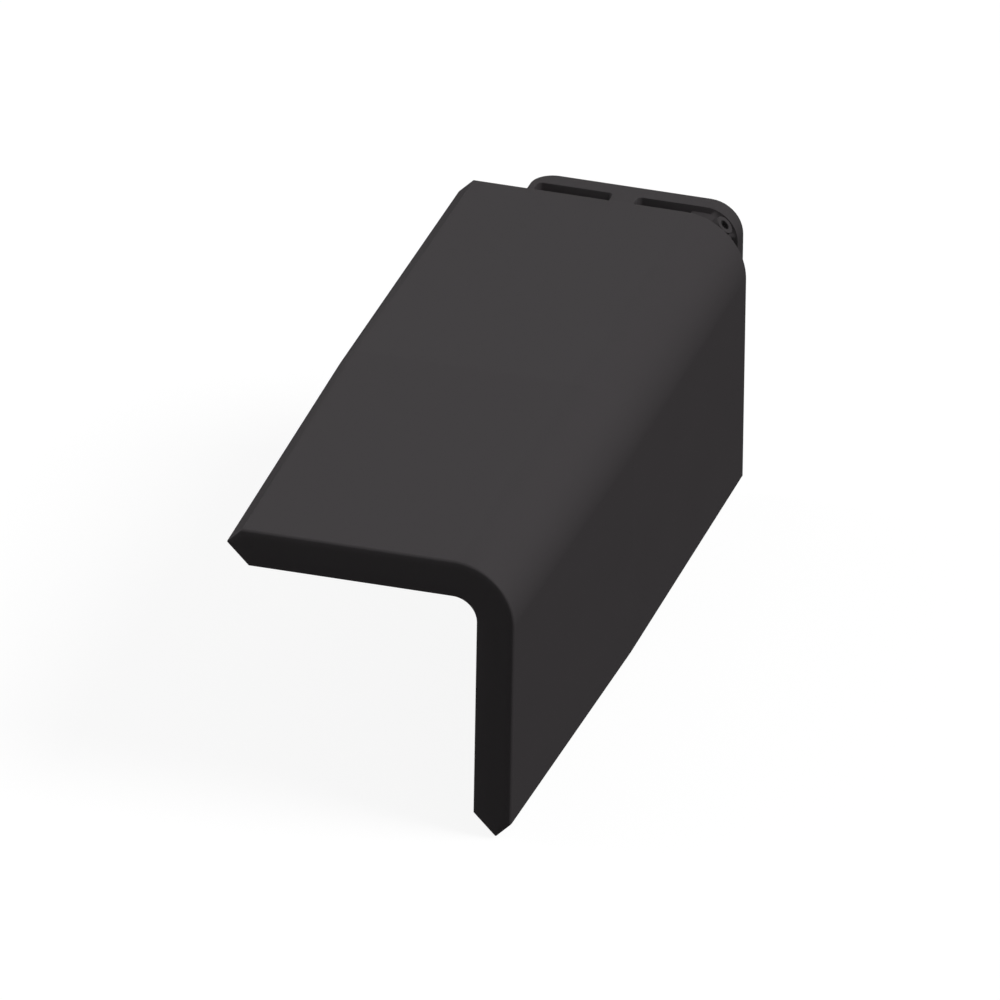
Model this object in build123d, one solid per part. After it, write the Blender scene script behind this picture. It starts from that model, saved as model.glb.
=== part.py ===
from build123d import *
import math
import os

# Roof verge trim: one moulded L-section piece. X runs out over the barge board, Y up the roof
# slope from the nose to the lap tongue, Z up. The origin is the centre of the face that lies on
# the roof, at half the body's length. All sizes are in millimetres.

# Body
leg = 150.0                  # outer face of one leg to the tip of the other, at the ends
body_length = 402.5          # nose to the shoulder where the tongue starts
wall = 19.7                  # thickness of a leg at the ends
inner_radius = 12.8          # round of the inside corner
outer_bevel = 8.0            # how far the point of a tip lies below the outer face
tip_radius = 0.6             # round on the point of a tip
crown = 2.1                  # how much the outer skin swells from the ends to the crease
shoulder_edge_radius = 0.5   # round between the outer skin and the shoulder

# Nose
nose_rise = 0.5              # how far the middle of the end face stands out
nose_outer_band = 4.0        # width of the sloped band along the outer edge
nose_inner_band = 6.5        # width of the sloped band along the inner edge
nose_edge_radius = 1.2       # round between the outer skin and the end face

# Lap tongue, flush with the inner faces
tongue_length = 47.5         # reach beyond the shoulder
tongue_inset = 15.5          # step from the outer skin down to the tongue
tongue_setback = 26.8        # tip of a leg to the end of the tongue
tongue_corner_radius = 12.0  # round on the tongue's far corners
rim_width = 10.5             # bar along the far edge
rim_edge_radius = 1.2        # round along the tongue's upper outline
end_rim_width = 4.0          # bar at each end
root_width = 16.0            # solid band next to the shoulder
bridge_start = 69.7          # tip of a leg to the bridge between two windows
bridge_width = 13.0
window_radius = 2.5          # round in the corners of a window
window_draft = 12.0          # lean of a window's long walls, in degrees

# Screw pocket in the tongue's corner
pocket_floor = 1.2           # thickness left under the pocket
pocket_reach = 7.0           # how far its floor runs on along each leg
hole_reach = 31.0            # shoulder to the screw hole
hole_radius = 2.5
collar_radius = 5.0
collar_height = 3.0          # collar's rise above the pocket's floor

# Places that follow from the sizes above
outer_radius = wall + inner_radius
tongue_radius = outer_radius - tongue_inset
floor_radius = inner_radius + pocket_floor
inner_bevel = wall - outer_bevel
seat_width = leg - wall - inner_bevel - inner_radius
corner_x = seat_width / 2
corner_z = -inner_radius
nose_y = -body_length / 2
shoulder_y = body_length / 2
tongue_end_y = shoulder_y + tongue_length
rim_y = tongue_end_y - rim_width
root_y = shoulder_y + root_width
tip_reach = leg - outer_radius
diagonal = math.sqrt(0.5)
same_place = 0.01            # two points closer than this are one

# The corner's own directions: straight out through it, and round it from leg to leg
out_of_corner = (diagonal, 0, diagonal)
round_corner = (diagonal, 0, -diagonal)
screw_plane = Plane(origin=(corner_x, shoulder_y, corner_z), x_dir=round_corner, z_dir=out_of_corner)
mirror_plane = Plane(origin=(corner_x, 0, corner_z), z_dir=round_corner)


def cross_plane(y):
    """Plane across the trim at y, centred on the rounds of the corner."""
    return Plane(origin=(corner_x, y, corner_z), x_dir=(1, 0, 0), z_dir=(0, -1, 0))


def same_leg(point):
    return point


def other_leg(point):
    return point[1], point[0]


def trim_section(y, outer_growth=0.0, inner_growth=0.0):
    """L section with pointed tips, its outer and inner skins moved out by the given amounts."""
    outer = outer_radius + outer_growth
    inner = inner_radius - inner_growth
    tip_x = -tip_reach - (outer_growth + inner_growth) * diagonal
    tip_z = outer_radius - outer_bevel + (outer_growth - inner_growth) * diagonal
    inner_edge = (tip_x + tip_z - inner, inner)
    outer_edge = (tip_x + outer - tip_z, outer)
    round_centre_x = tip_x + tip_radius / diagonal
    round_side_x = round_centre_x - tip_radius * diagonal
    round_start = (round_side_x, tip_z - tip_radius * diagonal)
    round_middle = (round_centre_x - tip_radius, tip_z)
    round_end = (round_side_x, tip_z + tip_radius * diagonal)
    with BuildSketch(cross_plane(y)) as sketch:
        with BuildLine():
            for placed in (same_leg, other_leg):
                Polyline(placed((0, inner)), placed(inner_edge), placed(round_start))
                ThreePointArc(placed(round_start), placed(round_middle), placed(round_end))
                Polyline(placed(round_end), placed(outer_edge), placed((0, outer)))
            CenterArc((0, 0), outer, 0, 90)
            CenterArc((0, 0), inner, 0, 90)
        make_face()
    return sketch.sketch.face()


def corner_band(start_y, end_y, inner, outer, reach):
    """L-shaped band between two radii of the corner, its legs cut square at the given reach."""
    with BuildSketch(cross_plane(start_y)) as sketch:
        with BuildLine():
            for placed in (same_leg, other_leg):
                ends = [(0, inner), (-reach, inner), (-reach, outer), (0, outer)]
                Polyline(*[placed(end) for end in ends])
            CenterArc((0, 0), outer, 0, 90)
            CenterArc((0, 0), inner, 0, 90)
        make_face()
    return extrude(sketch.sketch.face(), amount=end_y - start_y, dir=(0, 1, 0))


def depth_from_corner(edge):
    """How far the middle of an edge lies from the corner's axis or from its leg's centre plane."""
    middle = edge.position_at(0.5)
    return math.hypot(max(middle.X - corner_x, 0), max(middle.Z - corner_z, 0))


def skin_edges(body, y):
    """Edges of the body's outer skin that lie across the trim at y."""
    edges = body.edges().filter_by_position(Axis.Y, y - same_place, y + same_place)
    return edges.filter_by(lambda edge: depth_from_corner(edge) > outer_radius - same_place)


def make_body():
    """Two ruled halves that meet at the crease, with a faceted nose and soft outer edges."""
    front_y = nose_y + nose_rise
    sections = [
        trim_section(nose_y, -nose_outer_band, -nose_inner_band),
        trim_section(front_y),
        trim_section(0, crown),
        trim_section(shoulder_y),
    ]
    body = loft(sections, ruled=True)
    body = fillet(skin_edges(body, front_y), nose_edge_radius)
    return fillet(skin_edges(body, shoulder_y), shoulder_edge_radius)


def window_section(x):
    """Section of a window across its leg at x. Its long walls lean, so it widens towards the upper skin."""
    lean = math.tan(math.radians(window_draft))
    pinch = tongue_radius * lean
    spread = (outer_radius - tongue_radius) * lean
    corners = [
        (root_y + pinch, 0),
        (rim_y - pinch, 0),
        (rim_y + spread, outer_radius),
        (root_y - spread, outer_radius),
    ]
    plane = Plane(origin=(x, 0, corner_z), x_dir=(0, 1, 0), z_dir=(1, 0, 0))
    return plane * make_face(Polyline(*corners, close=True))


def round_end(end):
    """Rounds the two corners where the long walls of a window meet the given end of its cutter."""
    return fillet(end.edges().filter_by(Axis.Y, reverse=True), window_radius)


def make_window():
    """Cutter for the window between the tongue's end and the bridge, on the roof leg."""
    start_x = corner_x - tip_reach + tongue_setback + end_rim_width
    end_x = corner_x - tip_reach + bridge_start
    cutter = extrude(window_section(start_x), amount=end_x - start_x, dir=(1, 0, 0))
    cutter = round_end(cutter.faces().sort_by(Axis.X)[0])
    return round_end(cutter.faces().sort_by(Axis.X)[-1])


def make_corner_window():
    """Cutter for the window that runs round the corner, from bridge to bridge."""
    section = window_section(corner_x)
    along_roof = extrude(section, amount=tip_reach - bridge_start - bridge_width, dir=(-1, 0, 0))
    along_roof = round_end(along_roof.faces().sort_by(Axis.X)[0])
    round_the_corner = revolve(section, Axis((corner_x, 0, corner_z), (0, 1, 0)), 90)
    return along_roof + round_the_corner + mirror(along_roof, about=mirror_plane)


def make_screw_pocket():
    """Thin floor across the corner's window, and the collar that stands on it round the screw hole."""
    floor = corner_band(root_y, rim_y, inner_radius, floor_radius, pocket_reach)
    collar_base = screw_plane.offset(inner_radius) * Pos(0, hole_reach)
    return floor + extrude(collar_base * Circle(collar_radius), amount=pocket_floor + collar_height)


def make_screw_hole():
    """Cutter for the screw hole, straight out through the corner."""
    return extrude(screw_plane * Pos(0, hole_reach) * Circle(hole_radius), amount=outer_radius)


def on_tongue_outline(edge):
    """True for an edge round the tongue's upper skin, not at the shoulder and not beside the corner's round."""
    middle = edge.position_at(0.5)
    on_skin = abs(depth_from_corner(edge) - tongue_radius) < same_place
    beside_round = min(abs(middle.X - corner_x), abs(middle.Z - corner_z)) < same_place
    return on_skin and not beside_round and middle.Y > shoulder_y + same_place


def make_tongue():
    """Plate behind the shoulder with rounded far corners, a soft rim, windows and the screw pocket."""
    plate = corner_band(shoulder_y, tongue_end_y, inner_radius, tongue_radius, tip_reach - tongue_setback)
    roof_corner = plate.edges().filter_by(Axis.Z).group_by(Axis.Y)[-1].sort_by(Axis.X)[0]
    board_corner = plate.edges().filter_by(Axis.X).group_by(Axis.Y)[-1].sort_by(Axis.Z)[0]
    plate = fillet([roof_corner, board_corner], tongue_corner_radius)
    plate = fillet(plate.edges().filter_by(on_tongue_outline), rim_edge_radius)
    window = make_window()
    plate -= window
    plate -= mirror(window, about=mirror_plane)
    plate -= make_corner_window()
    return plate + make_screw_pocket() - make_screw_hole()


trim = make_body() + make_tongue()
os.makedirs("parts", exist_ok=True)
export_step(trim, "parts/verge_trim.step")
print("trim solids", len(trim.solids()), "volume", round(trim.volume), "size", trim.bounding_box().size)
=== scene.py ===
# %% [markdown]
# Roof verge trim: one dark grey moulding that covers the edge of a roof.
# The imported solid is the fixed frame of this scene.
# Its sizes are real, in metres, and nothing here moves it.
# X runs out over the barge board, Y up the roof slope from the nose to the lap tongue, and Z up.
# The origin is the middle of the body's face that lies on the roof.

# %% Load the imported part
import math

import bmesh
import bpy
from mathutils import Matrix, Vector


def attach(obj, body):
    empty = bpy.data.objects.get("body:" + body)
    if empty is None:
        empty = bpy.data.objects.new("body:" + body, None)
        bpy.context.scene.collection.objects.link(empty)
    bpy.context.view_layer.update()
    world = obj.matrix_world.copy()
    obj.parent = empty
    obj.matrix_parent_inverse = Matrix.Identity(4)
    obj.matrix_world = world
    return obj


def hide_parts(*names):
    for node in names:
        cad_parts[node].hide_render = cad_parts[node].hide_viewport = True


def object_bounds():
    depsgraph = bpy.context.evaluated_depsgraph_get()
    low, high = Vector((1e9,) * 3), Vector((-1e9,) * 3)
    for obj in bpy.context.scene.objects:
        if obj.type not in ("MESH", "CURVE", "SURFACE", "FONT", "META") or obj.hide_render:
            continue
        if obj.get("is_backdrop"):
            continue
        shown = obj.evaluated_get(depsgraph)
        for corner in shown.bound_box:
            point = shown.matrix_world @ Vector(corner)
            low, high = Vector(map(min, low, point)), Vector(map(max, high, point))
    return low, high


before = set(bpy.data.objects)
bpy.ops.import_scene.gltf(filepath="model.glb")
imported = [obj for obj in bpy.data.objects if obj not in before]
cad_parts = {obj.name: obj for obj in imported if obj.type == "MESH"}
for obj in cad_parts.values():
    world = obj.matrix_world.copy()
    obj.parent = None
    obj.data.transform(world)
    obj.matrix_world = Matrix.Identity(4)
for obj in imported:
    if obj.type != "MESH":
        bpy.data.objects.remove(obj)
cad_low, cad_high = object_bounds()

MILLIMETRE = 0.001
TRIM_NODE = "verge_trim"


def millimetres(length):
    """A length in millimetres, rounded for printing."""
    return round(length / MILLIMETRE, 1)


scene = bpy.context.scene
scene.view_settings.view_transform = "Standard"
print("packed box", [millimetres(side) for side in cad_high - cad_low], "mm")

# %% [markdown]
# Node trees written as sums.
# A finish is a sum of small patterns, and a swept shape is a sum of small shifts.
# Both read best when they are written as sums.
# Each socket is wrapped in a small class, so that adding two of them adds the Math node for it.
# Every other node comes from one method: the kind of node, its settings, and what its sockets get.

# %% Wrap a node's socket for arithmetic
class Wire:
    """An output socket that takes part in arithmetic. With no socket it stands for its node tree."""

    def __init__(self, tree, socket=None):
        self.tree = tree
        self.socket = socket

    def feed(self, socket, value):
        """Links a wire, or each wire of a list, to a socket. Anything else becomes its value."""
        if isinstance(value, list):
            for wire in value:
                self.feed(socket, wire)
        elif isinstance(value, Wire):
            self.tree.links.new(value.socket, socket)
        else:
            socket.default_value = value

    def node(self, kind, settings=None, sockets=None, output=0):
        """Adds a node, with its settings first, and gives back one of its outputs."""
        made = self.tree.nodes.new(kind)
        for name, value in (settings or {}).items():
            if name == "cases":
                while len(made.index_switch_items) < value:
                    made.index_switch_items.new()
            else:
                setattr(made, name, value)
        for name, value in (sockets or {}).items():
            self.feed(made.inputs[name], value)
        return Wire(self.tree, made.outputs[output] if made.outputs else None)

    def math(self, operation, first, second):
        return self.node("ShaderNodeMath", {"operation": operation}, {0: first, 1: second})

    def __add__(self, other):
        return self.math("ADD", self, other)

    def __sub__(self, other):
        return self.math("SUBTRACT", self, other)

    def __rsub__(self, other):
        return self.math("SUBTRACT", other, self)

    def __mul__(self, other):
        return self.math("MULTIPLY", self, other)

    __radd__ = __add__
    __rmul__ = __mul__


print("node maths ready")

# %% [markdown]
# Moulded plastic.
# The trim is a dark, slightly warm grey, even from end to end.
# It has a low sheen and a fine grain from the mould.
# One colour and one roughness would look like a drawing, so three patterns vary both a little.
# They are a broad mottle where the melt cooled unevenly, faint streaks along the flow, and the grain.
# The grain is also a bump.

# %% Name the finish's values
PLASTIC_COLOUR = (0.0525, 0.0482, 0.0504)
MOTTLE_PER_METRE = 22
MOTTLE_DETAIL = 4
MOTTLE_SHARE = 0.5
STREAKS_ACROSS = 90
STREAKS_ALONG = 5
STREAK_DETAIL = 3
STREAK_SHARE = 0.3
GRAIN_PER_METRE = 2400
GRAIN_DETAIL = 2
GRAIN_SHARE = 0.2
GRAIN_DEPTH = 0.05 * MILLIMETRE
GRAIN_STRENGTH = 0.6
AS_MAPPED = 1
MIDDLE_OF_NOISE = 0.5
TONE_SWING = 0.10
ROUGHNESS = 0.58
ROUGHNESS_SWING = 0.12
SHEEN_LEVEL = 0.06
print("grain repeats about every", millimetres(1 / GRAIN_PER_METRE), "mm")


# %% Mix the plastic's finish
def empty_sheet(owner):
    """Empties the node tree of a material or world, and gives back a wire to fill it with."""
    owner.use_nodes = True
    owner.node_tree.nodes.clear()
    return Wire(owner.node_tree)


def noise(place, scale, detail):
    """Soft uneven pattern over a surface."""
    return place.node("ShaderNodeTexNoise", {}, {"Vector": place, "Scale": scale, "Detail": detail})


def moulded_plastic():
    """Dark grey plastic with a fine mould grain, as a material."""
    material = bpy.data.materials.new("moulded_plastic")
    sheet = empty_sheet(material)
    place = sheet.node("ShaderNodeTexCoord", output="Object")
    along_flow = sheet.node(
        "ShaderNodeMapping",
        {"vector_type": "POINT"},
        {"Vector": place, "Scale": (STREAKS_ACROSS, STREAKS_ALONG, STREAKS_ACROSS)},
    )
    mottle = noise(place, MOTTLE_PER_METRE, MOTTLE_DETAIL)
    streaks = noise(along_flow, AS_MAPPED, STREAK_DETAIL)
    grain = noise(place, GRAIN_PER_METRE, GRAIN_DETAIL)
    pattern = mottle * MOTTLE_SHARE + streaks * STREAK_SHARE + grain * GRAIN_SHARE
    unevenness = pattern - MIDDLE_OF_NOISE
    tone = unevenness * TONE_SWING + 1
    colour = sheet.node(
        "ShaderNodeVectorMath",
        {"operation": "SCALE"},
        {0: PLASTIC_COLOUR, "Scale": tone},
    )
    bump = sheet.node(
        "ShaderNodeBump",
        {},
        {"Strength": GRAIN_STRENGTH, "Distance": GRAIN_DEPTH, "Height": grain},
    )
    surface = sheet.node(
        "ShaderNodeBsdfPrincipled",
        {},
        {
            "Base Color": colour,
            "Roughness": unevenness * ROUGHNESS_SWING + ROUGHNESS,
            "Specular IOR Level": SHEEN_LEVEL,
            "Normal": bump,
        },
    )
    sheet.node("ShaderNodeOutputMaterial", {}, {"Surface": surface})
    return material


plastic = moulded_plastic()
print("finish has", len(plastic.node_tree.nodes), "nodes")

# %% [markdown]
# The section.
# Cut the trim anywhere along its body, and the cut face is nearly the same L.
# It has two legs with pointed tips and a round corner.
# A traced curve would do, but a list worked out from five sizes stays true when one of them changes.
# Each point also holds which way it goes when the outer or the inner skin grows by one unit.

# %% Draw the section of the body
LEG = 150 * MILLIMETRE
WALL = 19.7 * MILLIMETRE
INNER_RADIUS = 12.8 * MILLIMETRE
OUTER_BEVEL = 8 * MILLIMETRE
TIP_RADIUS = 0.6 * MILLIMETRE
OUTER_RADIUS = WALL + INNER_RADIUS
INNER_BEVEL = WALL - OUTER_BEVEL
QUARTER_TURN = math.radians(90)
TIP_START = math.radians(225)
CORNER_STEPS = 28
TIP_STEPS = 4
# Each part of a unit step at 45 degrees
DIAGONAL = math.sqrt(0.5)
# How far an edge slides along its leg when both faces that meet there grow by one unit
MITRE = 1 - 2 * DIAGONAL
STILL = Vector((0, 0))


def leg_points():
    """One leg from its inner face round its tip: each point's place, outer shift and inner shift."""
    tip = Vector((OUTER_RADIUS - LEG, OUTER_RADIUS - OUTER_BEVEL))
    inner_edge = Vector((tip.x + tip.y - INNER_RADIUS, INNER_RADIUS))
    outer_edge = Vector((tip.x + OUTER_RADIUS - tip.y, OUTER_RADIUS))
    points = [(inner_edge, STILL, Vector((MITRE, -1)))]
    tip_centre = tip + Vector((TIP_RADIUS / DIAGONAL, 0))
    for step in range(TIP_STEPS + 1):
        angle = TIP_START - QUARTER_TURN * step / TIP_STEPS
        place = tip_centre + TIP_RADIUS * Vector((math.cos(angle), math.sin(angle)))
        points.append((place, Vector((-DIAGONAL, DIAGONAL)), Vector((-DIAGONAL, -DIAGONAL))))
    points.append((outer_edge, Vector((MITRE, 1)), STILL))
    return points


def section_points():
    """The whole outline: a leg, the corner's outside, the other leg backwards, the corner's inside."""
    leg = leg_points()
    other_leg = [tuple(vector.yx for vector in point) for point in reversed(leg)]
    outside = []
    inside = []
    for step in range(CORNER_STEPS + 1):
        angle = QUARTER_TURN * step / CORNER_STEPS
        outwards = Vector((math.sin(angle), math.cos(angle)))
        outside.append((OUTER_RADIUS * outwards, outwards, STILL))
        inside.append((INNER_RADIUS * outwards, STILL, -outwards))
    return leg + outside + other_leg + inside[::-1]


outline = section_points()
seat_width = LEG - WALL - INNER_BEVEL - INNER_RADIUS
corner_axis = Vector((seat_width / 2, 0, -INNER_RADIUS))
print("section has", len(outline), "points")
print("corner's axis lies at", [millimetres(value) for value in corner_axis], "mm")


# %% Keep the section as a ring of edges
def add_object(name, data):
    """Puts a new object in the scene."""
    made = bpy.data.objects.new(name, data)
    scene.collection.objects.link(made)
    return made


# A sweep along +Y lays the second direction of its section downwards, so heights are turned over here
places, outer_shifts, inner_shifts = zip(*outline)
count = len(places)
ring = [(number, (number + 1) % count) for number in range(count)]
section_mesh = bpy.data.meshes.new("section")
section_mesh.from_pydata([(place.x, -place.y, 0) for place in places], ring, [])
for name, shifts in (("outer_shift", outer_shifts), ("inner_shift", inner_shifts)):
    stored = section_mesh.attributes.new(name, "FLOAT_VECTOR", "POINT")
    for item, shift in zip(stored.data, shifts):
        item.vector = (shift.x, 0, shift.y)
section = add_object("section", section_mesh)
print("section ring has", len(section_mesh.edges), "edges")

# %% [markdown]
# The tongue.
# Behind the shoulder a thin plate runs on, for the next trim to lap over.
# It has bridges, a screw pocket, and windows whose leaning walls go round the corner.
# They could be cut again here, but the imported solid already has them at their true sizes.
# So a copy of the solid's mesh is cut off at the shoulder.
# The cut end is then moved a little way into the body, to have something to grip.
# Two inner skins in one place would leave slivers, so that end also leans into the wall.

# %% Cut the tongue off a copy of the solid
BODY_LENGTH = 402.5 * MILLIMETRE
JOIN_DISTANCE = 0.002 * MILLIMETRE
CUT_GAP = 0.01 * MILLIMETRE
UP_SLOPE = (0, 1, 0)

shoulder = BODY_LENGTH / 2
cut_place = Vector((0, shoulder + CUT_GAP, 0))
tongue = bmesh.new()
tongue.from_mesh(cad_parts[TRIM_NODE].data)
bmesh.ops.remove_doubles(tongue, verts=tongue.verts, dist=JOIN_DISTANCE)
everything = tongue.verts[:] + tongue.edges[:] + tongue.faces[:]
bmesh.ops.bisect_plane(
    tongue,
    geom=everything,
    plane_co=cut_place,
    plane_no=UP_SLOPE,
    clear_inner=True,
)
bmesh.ops.contextual_create(tongue, geom=[edge for edge in tongue.edges if edge.is_boundary])
print("tongue has", len(tongue.faces), "faces")

# %% Move its cut end into the body
GRIP = 2 * MILLIMETRE
GRIP_LEAN = 1 * MILLIMETRE


def from_corner(point):
    """Way out to a point, from the corner's axis or square to the leg that the point is on."""
    return Vector((max(point.x - corner_axis.x, 0), 0, max(point.z - corner_axis.z, 0)))


for point in tongue.verts:
    if point.co.y < cut_place.y + JOIN_DISTANCE:
        point.co.y = shoulder - GRIP
        outwards = from_corner(point.co)
        if outwards.length < INNER_RADIUS + JOIN_DISTANCE:
            point.co += outwards.normalized() * GRIP_LEAN
bmesh.ops.recalc_face_normals(tongue, faces=tongue.faces)
open_edges = [edge for edge in tongue.edges if not edge.is_manifold]
print("tongue has", len(open_edges), "open edges")
tongue_mesh = bpy.data.meshes.new("tongue")
tongue.to_mesh(tongue_mesh)
tongue.free()

# %% [markdown]
# The body.
# The outer skin swells from each end to a faint crease at half length.
# The end face at the nose is softly faceted.
# It could be lofted by hand, but it follows a rule: one section, swept along a straight path.
# At each of four stations two numbers say how far the outer and the inner skin grow.
# Geometry Nodes does the rest.
# The same tree then unites the body with the tongue, because the real trim is one moulding.

# %% Name the body's sizes
SIZES = {
    "Length": BODY_LENGTH,
    "Crown": 2.1 * MILLIMETRE,
    "Nose Rise": 0.5 * MILLIMETRE,
    "Nose Outer Band": 4 * MILLIMETRE,
    "Nose Inner Band": 6.5 * MILLIMETRE,
}
HALF = 0.5
print("body is", millimetres(SIZES["Length"]), "mm long")


# %% Write the tree's steps
def at_stations(sheet, values):
    """Gives each station of the path its own value, from the nose to the shoulder."""
    cases = {str(number): value for number, value in enumerate(values)}
    station = sheet.node("GeometryNodeInputIndex")
    return sheet.node(
        "GeometryNodeIndexSwitch",
        {"data_type": "FLOAT", "cases": len(values)},
        {"Index": station, **cases},
    )


def straight_path(sheet, stations, growths):
    """Path along the corner's axis, whose points hold how far the skins grow there."""
    line = sheet.node("GeometryNodeCurvePrimitiveLine", {}, {"End": UP_SLOPE})
    path = sheet.node(
        "GeometryNodeResampleCurve",
        {"mode": "COUNT"},
        {"Curve": line, "Count": len(stations)},
    )
    along = at_stations(sheet, stations)
    place = sheet.node(
        "ShaderNodeCombineXYZ",
        {},
        {"X": corner_axis.x, "Y": along, "Z": corner_axis.z},
    )
    path = sheet.node("GeometryNodeSetPosition", {}, {"Geometry": path, "Position": place})
    for name, values in growths.items():
        path = sheet.node(
            "GeometryNodeStoreNamedAttribute",
            {"data_type": "FLOAT", "domain": "POINT"},
            {"Geometry": path, "Name": name + "_growth", "Value": at_stations(sheet, values)},
        )
    return path


def move_skin(sheet, body, name):
    """Moves the points of one skin along their shifts, as far as their station says."""
    kind = "GeometryNodeInputNamedAttribute"
    shift = sheet.node(kind, {"data_type": "FLOAT_VECTOR"}, {"Name": name + "_shift"})
    growth = sheet.node(kind, {"data_type": "FLOAT"}, {"Name": name + "_growth"})
    offset = sheet.node("ShaderNodeVectorMath", {"operation": "SCALE"}, {0: shift, "Scale": growth})
    return sheet.node("GeometryNodeSetPosition", {}, {"Geometry": body, "Offset": offset})


print("steps of the tree ready")


# %% Write the tree
def sweep_tree():
    """Tree that sweeps a section into the body and unites it with the tongue that it is given."""
    tree = bpy.data.node_groups.new("sweep_body", "GeometryNodeTree")
    tree.interface.new_socket("Geometry", in_out="INPUT", socket_type="NodeSocketGeometry")
    tree.interface.new_socket("Section", in_out="INPUT", socket_type="NodeSocketObject")
    for name in SIZES:
        tree.interface.new_socket(name, in_out="INPUT", socket_type="NodeSocketFloat")
    tree.interface.new_socket("Geometry", in_out="OUTPUT", socket_type="NodeSocketGeometry")
    sheet = Wire(tree)
    inputs = ("Geometry", "Section", *SIZES)
    given = {name: sheet.node("NodeGroupInput", output=name) for name in inputs}

    rear = given["Length"] * HALF
    nose = 0 - rear
    stations = (nose, nose + given["Nose Rise"], 0, rear)
    growths = {
        "outer": (0 - given["Nose Outer Band"], 0, given["Crown"], 0),
        "inner": (0 - given["Nose Inner Band"], 0, 0, 0),
    }
    path = straight_path(sheet, stations, growths)
    info = sheet.node("GeometryNodeObjectInfo", {}, {"Object": given["Section"]}, output="Geometry")
    profile = sheet.node("GeometryNodeMeshToCurve", {}, {"Mesh": info})
    body = sheet.node(
        "GeometryNodeCurveToMesh",
        {},
        {"Curve": path, "Profile Curve": profile, "Fill Caps": True},
    )
    for name in growths:
        body = move_skin(sheet, body, name)

    whole = sheet.node(
        "GeometryNodeMeshBoolean",
        {"operation": "UNION", "solver": "EXACT"},
        {"Mesh 2": [body, given["Geometry"]]},
    )
    whole = sheet.node("GeometryNodeRealizeInstances", {}, {"Geometry": whole})
    whole = sheet.node("GeometryNodeSetMaterial", {}, {"Geometry": whole, "Material": plastic})
    sheet.node("NodeGroupOutput", {}, {"Geometry": whole})
    return tree


body_tree = sweep_tree()
print("tree has", len(body_tree.nodes), "nodes")


# %% Sweep the body and unite it with the tongue
def plain_mesh(owner):
    """What an object's modifiers make of it, as a mesh of its own."""
    result = owner.evaluated_get(bpy.context.evaluated_depsgraph_get())
    return bpy.data.meshes.new_from_object(result)


draft = add_object("moulding_draft", tongue_mesh)
sweep = draft.modifiers.new("sweep_body", "NODES")
sweep.node_group = body_tree
chosen = {"Section": section, **SIZES}
for socket in body_tree.interface.items_tree:
    if socket.name in chosen:
        sweep[socket.identifier] = chosen[socket.name]
moulding = plain_mesh(draft)
draft.modifiers.remove(sweep)
bpy.data.objects.remove(draft)
bpy.data.objects.remove(section)
print("moulding has", len(moulding.polygons), "faces")

# %% [markdown]
# Soft edges.
# No moulded edge is truly sharp, because the mould itself is cut with a small radius.
# The photo shows the round where the outer skin turns into the nose, and a finer one at the shoulder.
# Everywhere else a round of under half a millimetre catches the light along tips and windows.
# A Bevel modifier could do all of them at one size. Bevelling chosen edges gives each kind its own.

# %% Join what lies in one plane
FLAT_ANGLE = math.radians(0.15)

shape = bmesh.new()
shape.from_mesh(moulding)
bmesh.ops.remove_doubles(shape, verts=shape.verts, dist=JOIN_DISTANCE)
bmesh.ops.dissolve_limit(shape, angle_limit=FLAT_ANGLE, verts=shape.verts, edges=shape.edges)
bmesh.ops.recalc_face_normals(shape, faces=shape.faces)
open_edges = [edge for edge in shape.edges if not edge.is_manifold]
print("moulding has", len(shape.faces), "clean faces and", len(open_edges), "open edges")

# %% Round the nose and the shoulder
NOSE_EDGE_RADIUS = 1.2 * MILLIMETRE
SHOULDER_EDGE_RADIUS = 0.5 * MILLIMETRE
EDGE_SEGMENTS = 4
ROUND_PROFILE = 0.5


def on_skin(point, y):
    """True for a point of the body's outer skin at y."""
    at_y = abs(point.y - y) < JOIN_DISTANCE
    return at_y and from_corner(point).length > OUTER_RADIUS - JOIN_DISTANCE


def skin_edges(y):
    """The edges of the body's outer skin at y."""
    return [edge for edge in shape.edges if all(on_skin(end.co, y) for end in edge.verts)]


def round_edges(edges, radius):
    """Bevels edges of the moulding to a round of this radius, or less where there is less room."""
    bmesh.ops.bevel(
        shape,
        geom=edges,
        offset=radius,
        segments=EDGE_SEGMENTS,
        profile=ROUND_PROFILE,
        affect="EDGES",
        clamp_overlap=True,
    )
    print("rounded", len(edges), "edges by", millimetres(radius), "mm")


round_edges(skin_edges(SIZES["Nose Rise"] - shoulder), NOSE_EDGE_RADIUS)
round_edges(skin_edges(shoulder), SHOULDER_EDGE_RADIUS)

# %% Round the other sharp edges chain by chain
# The tightest spot of a bevel holds all of it back, so each chain of edges has a bevel of its own
FINE_EDGE_RADIUS = 0.4 * MILLIMETRE
SHARP_TURN = math.radians(50)
SHORTEST_EDGE = 0.2 * MILLIMETRE
JOINT_MARGIN = 0.02 * MILLIMETRE


def in_joint(point):
    """True for a point of the inner skin where the tongue grips the body."""
    beside = shoulder - GRIP - JOINT_MARGIN < point.y < shoulder + JOINT_MARGIN
    return beside and from_corner(point).length < INNER_RADIUS + GRIP_LEAN / 2


def chains_of(edges):
    """Splits edges into chains that hang together. A chain grows while it is walked."""
    waiting = dict.fromkeys(edges)
    chains = []
    while waiting:
        chain = [waiting.popitem()[0]]
        for edge in chain:
            for other in (linked for end in edge.verts for linked in end.link_edges):
                if other in waiting:
                    waiting.pop(other)
                    chain.append(other)
        chains.append(chain)
    return chains


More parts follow.
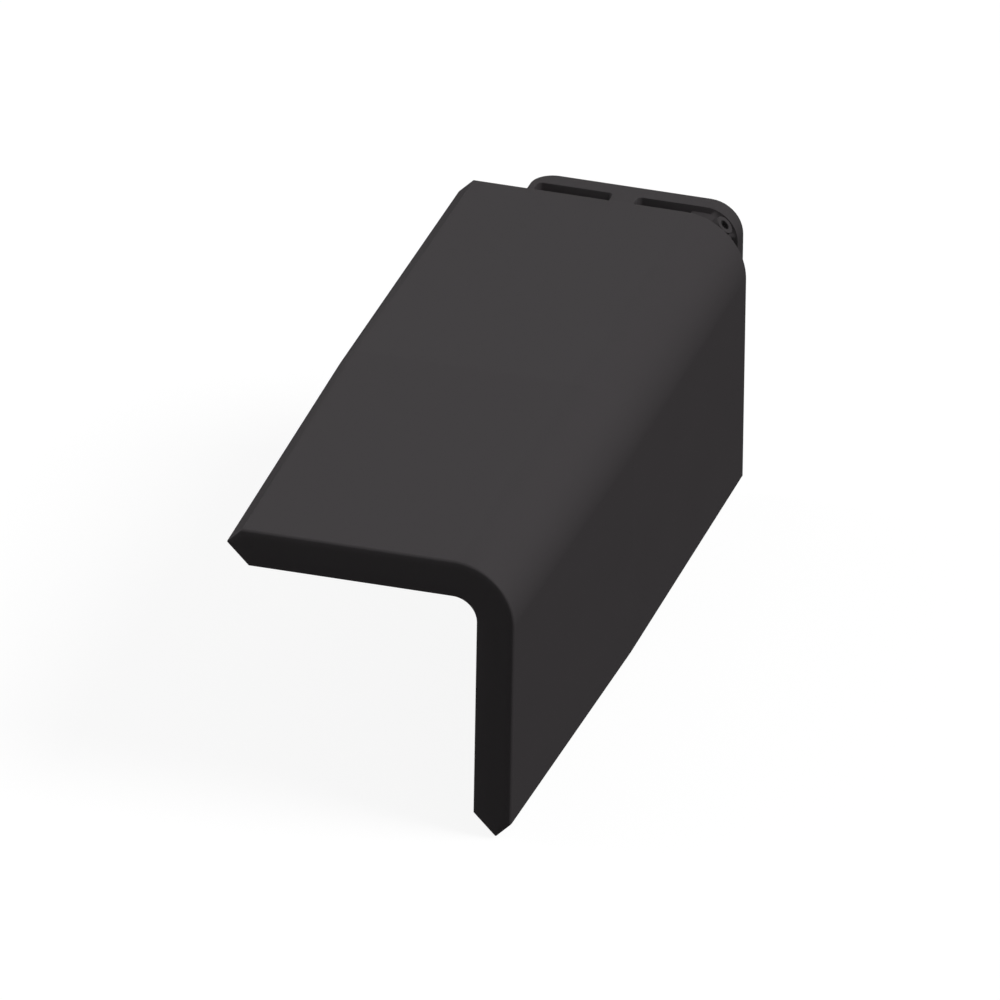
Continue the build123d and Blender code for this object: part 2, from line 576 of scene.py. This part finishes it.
convex_edges = [edge for edge in shape.edges if edge.is_convex]
sharp_edges = [edge for edge in convex_edges if edge.calc_face_angle() > SHARP_TURN]
free_edges = [edge for edge in sharp_edges if not any(in_joint(end.co) for end in edge.verts)]
for chain in chains_of(free_edges):
    if min(edge.calc_length() for edge in chain) > SHORTEST_EDGE:
        round_edges(chain, FINE_EDGE_RADIUS)
# A bevel can leave edges with hardly any length, which are taken out here
bmesh.ops.dissolve_degenerate(shape, dist=JOIN_DISTANCE, edges=shape.edges)
shape.to_mesh(moulding)
shape.free()

# %% [markdown]
# Even shading.
# Smooth shading blends the directions of neighbouring faces.
# A thin round beside a wide flat would then bend the light on the flat.
# A Weighted Normal modifier lets the wide face win, so flats stay flat and only the rounds turn.
# The crease at half length turns by only about one degree, so it is marked sharp by its place.
# The result is turned into a plain mesh, because a finished piece carries no live modifiers.

# %% Shade the moulding smoothly
CREASE_TURN = math.radians(32)
NORMAL_WEIGHT = 90

moulding.shade_smooth()
moulding.set_sharp_from_angle(angle=CREASE_TURN)
for edge in moulding.edges:
    if all(abs(moulding.vertices[end].co.y) < JOIN_DISTANCE for end in edge.vertices):
        edge.use_edge_sharp = True
draft = add_object("shading_draft", moulding)
weighting = draft.modifiers.new("even_shading", "WEIGHTED_NORMAL")
weighting.weight = NORMAL_WEIGHT
weighting.keep_sharp = True
finished = plain_mesh(draft)
bpy.data.objects.remove(draft)
trim = add_object("trim", finished)
print("trim has", len(finished.vertices), "points and", len(finished.polygons), "faces")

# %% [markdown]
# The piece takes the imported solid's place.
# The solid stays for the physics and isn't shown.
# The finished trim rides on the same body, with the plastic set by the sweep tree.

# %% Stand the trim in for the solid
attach(trim, "root")
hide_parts(TRIM_NODE)
print("trim rides on root and stands for", TRIM_NODE)

# %% [markdown]
# Floor.
# A wide pale floor lies under the tip of the board leg and takes a soft shadow.
# A white floor would throw light back on the nose, which is the darkest face of the trim.
# So only the camera sees the floor, and it blocks no lamp.
# Part of its white is its own glow, which keeps the shadow pale.
# From below it is clear, so that the trim shows.

# %% Lay the floor
FLOOR_HALF_WIDTH = 12.0
FLOOR_GAP = 0.2 * MILLIMETRE
FLOOR_COLOUR = (0.15, 0.15, 0.15, 1)
FLOOR_GLOW = 0.89


def pale_floor():
    """Matt floor with a steady glow, clear from below, as a material."""
    material = bpy.data.materials.new("pale_floor")
    sheet = empty_sheet(material)
    matt = sheet.node("ShaderNodeBsdfDiffuse", {}, {"Color": FLOOR_COLOUR})
    glow = sheet.node("ShaderNodeEmission", {}, {"Strength": FLOOR_GLOW})
    lit = sheet.node("ShaderNodeAddShader", {}, {0: matt, 1: glow})
    clear = sheet.node("ShaderNodeBsdfTransparent")
    below = sheet.node("ShaderNodeNewGeometry", output="Backfacing")
    side = sheet.node("ShaderNodeMixShader", {}, {"Fac": below, 1: lit, 2: clear})
    sheet.node("ShaderNodeOutputMaterial", {}, {"Surface": side})
    return material


floor_mesh = bpy.data.meshes.new("floor")
floor_shape = bmesh.new()
bmesh.ops.create_grid(floor_shape, size=FLOOR_HALF_WIDTH)
floor_shape.to_mesh(floor_mesh)
floor_shape.free()
floor_mesh.materials.append(pale_floor())
floor = add_object("floor", floor_mesh)
floor.location.z = cad_low.z - FLOOR_GAP
floor.visible_diffuse = False
floor.visible_glossy = False
floor.visible_shadow = False
floor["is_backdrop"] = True
print("floor lies at", millimetres(floor.location.z), "mm")

# %% [markdown]
# Light.
# In the photo the top is the lightest face.
# The side has three fifths of its light, and the nose less than a quarter.
# One lamp could not do that and keep the bevel along the left edge pale.
# So broad lamps join a soft dome.
# The camera sees the dome as white, and the surface is lit by its true, dimmer light.

# %% Hang the dome
WHITE = (1, 1, 1, 1)
DOME_LIGHT = 0.31
BACKDROP_LIGHT = 1
HORIZON_BLEND = 4.0
HORIZON_LEVEL = 0.5

world = bpy.data.worlds.new("dome")
scene.world = world
sheet = empty_sheet(world)
direction = sheet.node("ShaderNodeTexCoord", output="Generated")
height = sheet.node("ShaderNodeSeparateXYZ", {}, {"Vector": direction}, output="Z")
above = sheet.node("ShaderNodeClamp", {}, {"Value": height * HORIZON_BLEND + HORIZON_LEVEL})
dome = sheet.node("ShaderNodeBackground", {}, {"Color": WHITE, "Strength": above * DOME_LIGHT})
backdrop = sheet.node("ShaderNodeBackground", {}, {"Color": WHITE, "Strength": BACKDROP_LIGHT})
seen = sheet.node("ShaderNodeLightPath", output="Is Camera Ray")
through = sheet.node("ShaderNodeLightPath", output="Is Transmission Ray")
room = sheet.node("ShaderNodeMixShader", {}, {"Fac": seen + through, 1: dome, 2: backdrop})
sheet.node("ShaderNodeOutputWorld", {}, {"Surface": room})
print("dome has", len(world.node_tree.nodes), "nodes")

# %% [markdown]
# The lamps.
# The high lamp on the right lights the top, the side and the round between them.
# The left lamp lights the bevel and the nose.
# The low lamp behind adds a gloss that makes the rear half of the top a little lighter than the front.
# The under lamp stands for light that a pale table sends back up. It reaches only what faces down.
# The length of a lamp's direction is how bright it makes a white sheet that faces it.

# %% Hang the lamps
LAMPS = {
    "high_lamp": {"towards": Vector((0.48, 0, 0.465)), "spread": math.radians(30)},
    "left_lamp": {"towards": Vector((-0.54, -0.04, 0.06)), "spread": math.radians(12)},
    "low_lamp": {"towards": Vector((-0.010, 0.066, 0.010)), "spread": math.radians(20)},
    "under_lamp": {"towards": Vector((0, 0, -0.25)), "spread": math.radians(10)},
}

for name, plan in LAMPS.items():
    lamp = bpy.data.lights.new(name, "SUN")
    lamp.energy = plan["towards"].length * math.pi
    lamp.angle = plan["spread"]
    lamp_object = add_object(name, lamp)
    lamp_object.rotation_euler = plan["towards"].to_track_quat("Z", "Y").to_euler()
    print(name, "energy", round(lamp.energy, 2))

# %% [markdown]
# Camera.
# The photo's long edges are parallel, so the camera is a parallel one.
# Its direction and scale were fitted to the trim's own corners.
# One known point is pinned to its pixel.

# %% Set the camera
VIEW_AZIMUTH = math.radians(16.20)
VIEW_ELEVATION = math.radians(27.10)
VIEW_ROLL = math.radians(1.02)
PHOTO_SIZE = 1000
PIXELS_PER_METRE = 2011
PINNED_POINT = Vector((0.0854, 0.20125, 0.0192))
PINNED_PIXEL = (747.4, 221.8)
CAMERA_DISTANCE = 2.0


def turned(angle, axis):
    """Rotation about an axis, as a matrix of 3 by 3."""
    return Matrix.Rotation(angle, 3, axis)


turn = turned(VIEW_AZIMUTH, "Z") @ turned(QUARTER_TURN - VIEW_ELEVATION, "X") @ turned(VIEW_ROLL, "Z")
right, up, back = turn.col
pixel_right, pixel_down = PINNED_PIXEL
across = (pixel_right - PHOTO_SIZE / 2) / PIXELS_PER_METRE
upward = (PHOTO_SIZE / 2 - pixel_down) / PIXELS_PER_METRE
centre = PINNED_POINT - right * across - up * upward
camera = bpy.data.cameras.new("camera")
camera.type = "ORTHO"
camera.ortho_scale = PHOTO_SIZE / PIXELS_PER_METRE
camera_object = add_object("camera", camera)
camera_object.matrix_world = Matrix.Translation(centre + back * CAMERA_DISTANCE) @ turn.to_4x4()
scene.camera = camera_object
print("camera looks at", [millimetres(value) for value in centre], "mm")

# %% [markdown]
# Last, the box of what is shown is written, to set beside the box of the solid written at the start.

# %% Write the shown box and finish
shown_low, shown_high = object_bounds()
print("shown box", [millimetres(side) for side in shown_high - shown_low], "mm")
